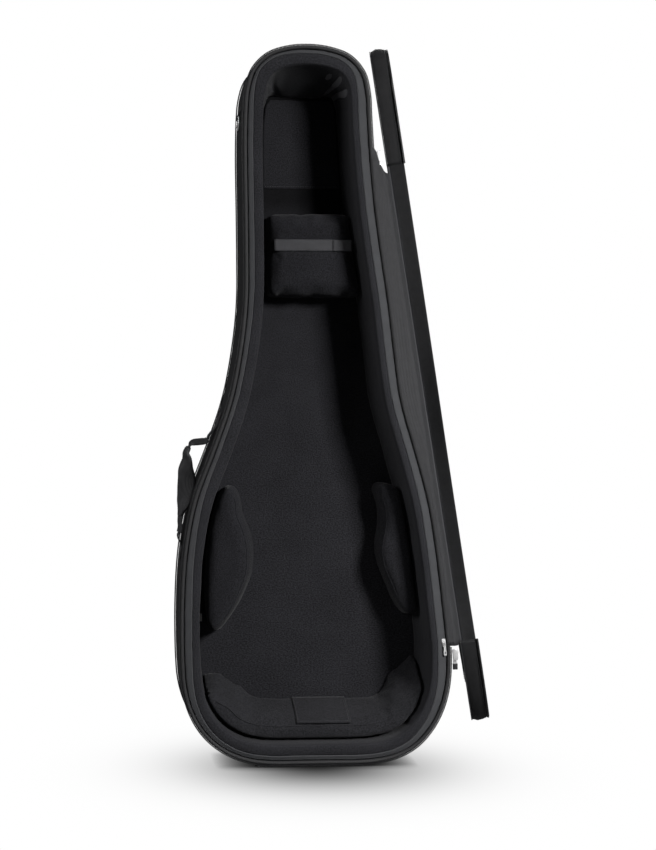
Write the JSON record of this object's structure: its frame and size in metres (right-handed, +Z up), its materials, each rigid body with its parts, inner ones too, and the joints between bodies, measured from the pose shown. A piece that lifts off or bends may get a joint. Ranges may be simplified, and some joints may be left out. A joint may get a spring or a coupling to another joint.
{
  "type": "bass guitar case",
  "caption": "Upright padded case for a long-necked instrument, with a zipped lid on a double-fold side hinge, neck cushion, waist pads, side handle and back straps.",
  "frame": {"origin": "on the flat underside of the foot the case stands on, midway between the rim plane and the back cover", "axes": "+Z up along the case's length, -Y out of its open front, +X to the right seen from the front, the side the lid is hinged on"},
  "size_m": [0.6436, 0.5032, 1.2725],
  "materials": {
    "base_foot": "matt black",
    "end_cushion": "black brushed fleece",
    "end_flap": "charcoal woven tape",
    "handle_anchor_low": "black webbing",
    "handle_anchor_top": "black webbing",
    "handle_grip": "black webbing",
    "handle_webbing_low": "black webbing",
    "handle_webbing_top": "black webbing",
    "hang_loop": "black webbing",
    "hang_loop_end_left": "black webbing",
    "hang_loop_end_right": "black webbing",
    "head_patch": "charcoal woven tape",
    "hinge_strip": "black woven nylon",
    "hinge_web_lid": "charcoal woven tape",
    "hinge_web_tub": "charcoal woven tape",
    "lid_cover": "black woven nylon",
    "lid_foam": "foam in black cloth",
    "lid_lining": "black brushed fleece",
    "lid_piping": "black woven nylon",
    "lid_pocket": "black woven nylon",
    "lid_wall": "black woven nylon",
    "lid_zip_coil": "black zip coil",
    "lower_pull": "bright plated",
    "lower_slider": "bright plated",
    "neck_block": "black brushed fleece",
    "neck_strap": "black webbing",
    "neck_strap_end": "black webbing",
    "pocket_pull": "bright plated",
    "pocket_slider": "bright plated",
    "pocket_zip_coil": "black zip coil",
    "pocket_zip_tape": "charcoal woven tape",
    "rim_binding": "charcoal woven tape",
    "rim_facing_tape": "charcoal woven tape",
    "rim_pull": "bright plated",
    "rim_slider": "bright plated",
    "ring_tab": "black webbing",
    "shoulder_strap_left": "black woven nylon",
    "shoulder_strap_right": "black woven nylon",
    "side_ring": "bright plated",
    "strap_adjuster_left": "black",
    "strap_adjuster_right": "black",
    "strap_anchor_left": "black webbing",
    "strap_anchor_right": "black webbing",
    "strap_webbing_left": "black webbing",
    "strap_webbing_right": "black webbing",
    "strap_yoke": "black webbing",
    "tub_back_cover": "black woven nylon",
    "tub_back_foam": "foam in black cloth",
    "tub_back_piping": "black woven nylon",
    "tub_foam_base": "foam in black cloth",
    "tub_foam_head": "foam in black cloth",
    "tub_foam_left": "foam in black cloth",
    "tub_foam_right": "foam in black cloth",
    "tub_lining": "black brushed fleece",
    "tub_side_cover": "black woven nylon",
    "tub_zip_coil": "black zip coil",
    "upper_pull": "bright plated",
    "upper_slider": "bright plated",
    "waist_pad_left": "black brushed fleece",
    "waist_pad_right": "black brushed fleece"
  },
  "bodies": {
    "tub": {"base_foot": "base_foot", "end_cushion": "end_cushion", "handle_anchor_low": "handle_anchor_low", "handle_anchor_top": "handle_anchor_top", "hang_loop": "hang_loop", "hang_loop_end_left": "hang_loop_end_left", "hang_loop_end_right": "hang_loop_end_right", "head_patch": "head_patch", "hinge_web_tub": "hinge_web_tub", "rim_binding": "rim_binding", "rim_facing_tape": "rim_facing_tape", "ring_tab": "ring_tab", "shoulder_strap_left": "shoulder_strap_left", "shoulder_strap_right": "shoulder_strap_right", "strap_anchor_left": "strap_anchor_left", "strap_anchor_right": "strap_anchor_right", "strap_webbing_left": "strap_webbing_left", "strap_webbing_right": "strap_webbing_right", "strap_yoke": "strap_yoke", "tub_back_cover": "tub_back_cover", "tub_back_foam": "tub_back_foam", "tub_back_piping": "tub_back_piping", "tub_foam_base": "tub_foam_base", "tub_foam_head": "tub_foam_head", "tub_foam_left": "tub_foam_left", "tub_foam_right": "tub_foam_right", "tub_lining": "tub_lining", "tub_side_cover": "tub_side_cover", "tub_zip_coil": "tub_zip_coil", "waist_pad_left": "waist_pad_left", "waist_pad_right": "waist_pad_right"},
    "hinge_strip": {"hinge_strip": "hinge_strip"},
    "lid": {"hinge_web_lid": "hinge_web_lid", "lid_cover": "lid_cover", "lid_foam": "lid_foam", "lid_lining": "lid_lining", "lid_wall": "lid_wall", "lid_piping": "lid_piping", "lid_zip_coil": "lid_zip_coil", "lid_pocket": "lid_pocket", "pocket_zip_tape": "pocket_zip_tape", "pocket_zip_coil": "pocket_zip_coil"},
    "neck_rest": {"neck_block": "neck_block", "neck_strap": "neck_strap", "neck_strap_end": "neck_strap_end"},
    "end_flap": {"end_flap": "end_flap"},
    "handle": {"handle_grip": "handle_grip", "handle_webbing_top": "handle_webbing_top", "handle_webbing_low": "handle_webbing_low"},
    "side_ring": {"side_ring": "side_ring"},
    "upper_slider": {"upper_slider": "upper_slider"},
    "upper_pull": {"upper_pull": "upper_pull"},
    "lower_slider": {"lower_slider": "lower_slider"},
    "lower_pull": {"lower_pull": "lower_pull"},
    "rim_slider": {"rim_slider": "rim_slider"},
    "rim_pull": {"rim_pull": "rim_pull"},
    "pocket_slider": {"pocket_slider": "pocket_slider"},
    "pocket_pull": {"pocket_pull": "pocket_pull"},
    "strap_adjuster_left": {"strap_adjuster_left": "strap_adjuster_left"},
    "strap_adjuster_right": {"strap_adjuster_right": "strap_adjuster_right"}
  },
  "joints": [
    {"name": "inner_fold", "type": "hinge", "parent": "tub", "child": "hinge_strip", "pos_m": [0.18319, -0.0535, 0.615], "axis": [-0.1531, 0, 0.9882], "range_deg": [-155, 3]},
    {"name": "outer_fold", "type": "hinge", "parent": "hinge_strip", "child": "lid", "pos_m": [0.19656, -0.0245, 0.61707], "axis": [-0.1531, 0, 0.9882], "range_deg": [-101.5, 4]},
    {"name": "neck_rest_slide", "type": "slide", "parent": "tub", "child": "neck_rest", "axis": [0, 0, 1], "range_m": [-0.02, 0.015]},
    {"name": "end_flap_lift", "type": "hinge", "parent": "tub", "child": "end_flap", "pos_m": [0, 0.0357, 0.10084], "axis": [-1, 0, 0], "range_deg": [0, 60]},
    {"name": "handle_swing", "type": "hinge", "parent": "tub", "child": "handle", "pos_m": [-0.20608, 0, 0.48147], "axis": [0.294, 0, 0.9558], "range_deg": [-18, 18]},
    {"name": "side_ring_swing", "type": "hinge", "parent": "tub", "child": "side_ring", "pos_m": [-0.12775, 0, 1.124], "axis": [0, 1, 0], "range_deg": [-3, 80]},
    {"name": "upper_slider_run", "type": "slide", "parent": "tub", "child": "upper_slider", "axis": [-0.0761, 0, 0.9971], "range_m": [0, 0.035]},
    {"name": "upper_pull_swing", "type": "hinge", "parent": "upper_slider", "child": "upper_pull", "pos_m": [0.11002, -0.0491, 1.051], "axis": [0.9971, 0, 0.0761], "range_deg": [0, 95]},
    {"name": "lower_slider_run", "type": "slide", "parent": "tub", "child": "lower_slider", "axis": [-0.0253, 0, 0.9997], "range_m": [-0.022, 0]},
    {"name": "lower_pull_swing", "type": "hinge", "parent": "lower_slider", "child": "lower_pull", "pos_m": [0.24418, -0.0491, 0.191], "axis": [0.9997, 0, 0.0253], "range_deg": [0, 95]},
    {"name": "rim_slider_run", "type": "slide", "parent": "tub", "child": "rim_slider", "axis": [-0.0655, 0, 0.9979], "range_m": [-0.012, 0.012]},
    {"name": "rim_pull_swing", "type": "hinge", "parent": "rim_slider", "child": "rim_pull", "pos_m": [0.22409, -0.05583, 0.21211], "axis": [-0.9137, -0.402, -0.06], "range_deg": [0, 95]},
    {"name": "pocket_slider_run", "type": "slide", "parent": "lid", "child": "pocket_slider", "axis": [0.2045, 0.9609, 0.1866], "range_m": [-0.2, 0.008]},
    {"name": "pocket_pull_swing", "type": "hinge", "parent": "pocket_slider", "child": "pocket_pull", "pos_m": [0.2682, 0.28913, 0.54504], "axis": [0.1866, 0.1488, -0.9711], "range_deg": [0, 95]},
    {"name": "strap_adjust_left", "type": "slide", "parent": "tub", "child": "strap_adjuster_left", "axis": [-0.1258, 0, -0.9921], "range_m": [-0.03, 0.09]},
    {"name": "strap_adjust_right", "type": "slide", "parent": "tub", "child": "strap_adjuster_right", "axis": [0.1258, 0, -0.9921], "range_m": [-0.03, 0.09]}
  ]
}
